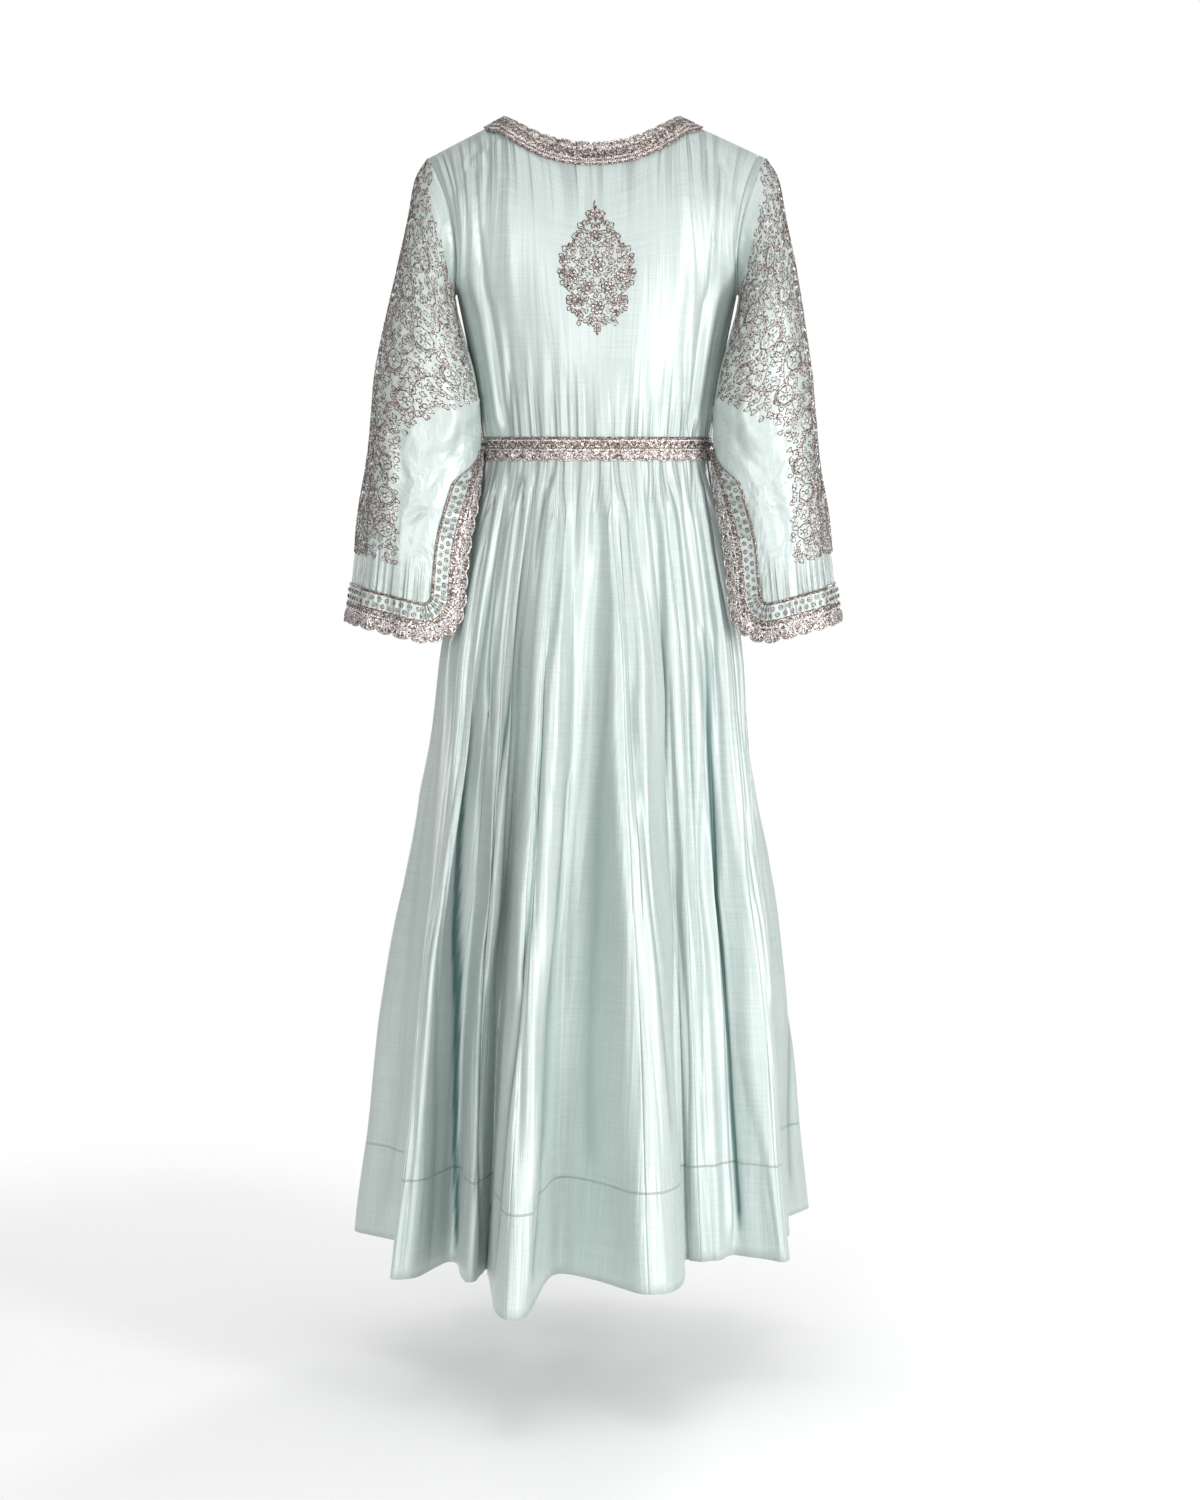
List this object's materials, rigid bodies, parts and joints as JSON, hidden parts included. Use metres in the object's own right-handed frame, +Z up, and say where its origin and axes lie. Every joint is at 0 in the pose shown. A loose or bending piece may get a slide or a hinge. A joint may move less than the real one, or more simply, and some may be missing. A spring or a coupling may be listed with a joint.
{
  "type": "anarkali gown",
  "caption": "Long-sleeved flared gown with a gathered bodice, scalloped neckband and waistband, a skirt of flared panels, and bell sleeves slit at the wrist.",
  "frame": {"origin": "on the gown's upright middle line at the height of the two neck points, at the top of the shoulders that carry it", "axes": "+Z up along the wearer's spine, -Y the way the wearer faces, +X to the wearer's left"},
  "size_m": [0.5965, 0.624, 1.3733],
  "materials": {
    "silk": "mint raw silk with a soft satin sheen",
    "embroidered_border": "dense metallic thread embroidery on mint silk, dark bronze and silver"
  },
  "bodies": {
    "root": {"bodice_back": "silk", "bodice_front": "silk", "sleeve_left": "silk", "sleeve_right": "silk", "skirt_panel_01": "silk", "skirt_panel_02": "silk", "skirt_panel_03": "silk", "skirt_panel_04": "silk", "skirt_panel_05": "silk", "skirt_panel_06": "silk", "skirt_panel_07": "silk", "skirt_panel_08": "silk", "skirt_panel_09": "silk", "skirt_panel_10": "silk", "skirt_panel_11": "silk", "skirt_panel_12": "silk", "skirt_panel_13": "silk", "skirt_panel_14": "silk", "skirt_panel_15": "silk", "neckband_back": "embroidered_border", "neckband_front": "embroidered_border", "waistband_back": "embroidered_border", "waistband_front": "embroidered_border", "cuff_border_left": "embroidered_border", "cuff_border_right": "embroidered_border"}
  },
  "joints": []
}
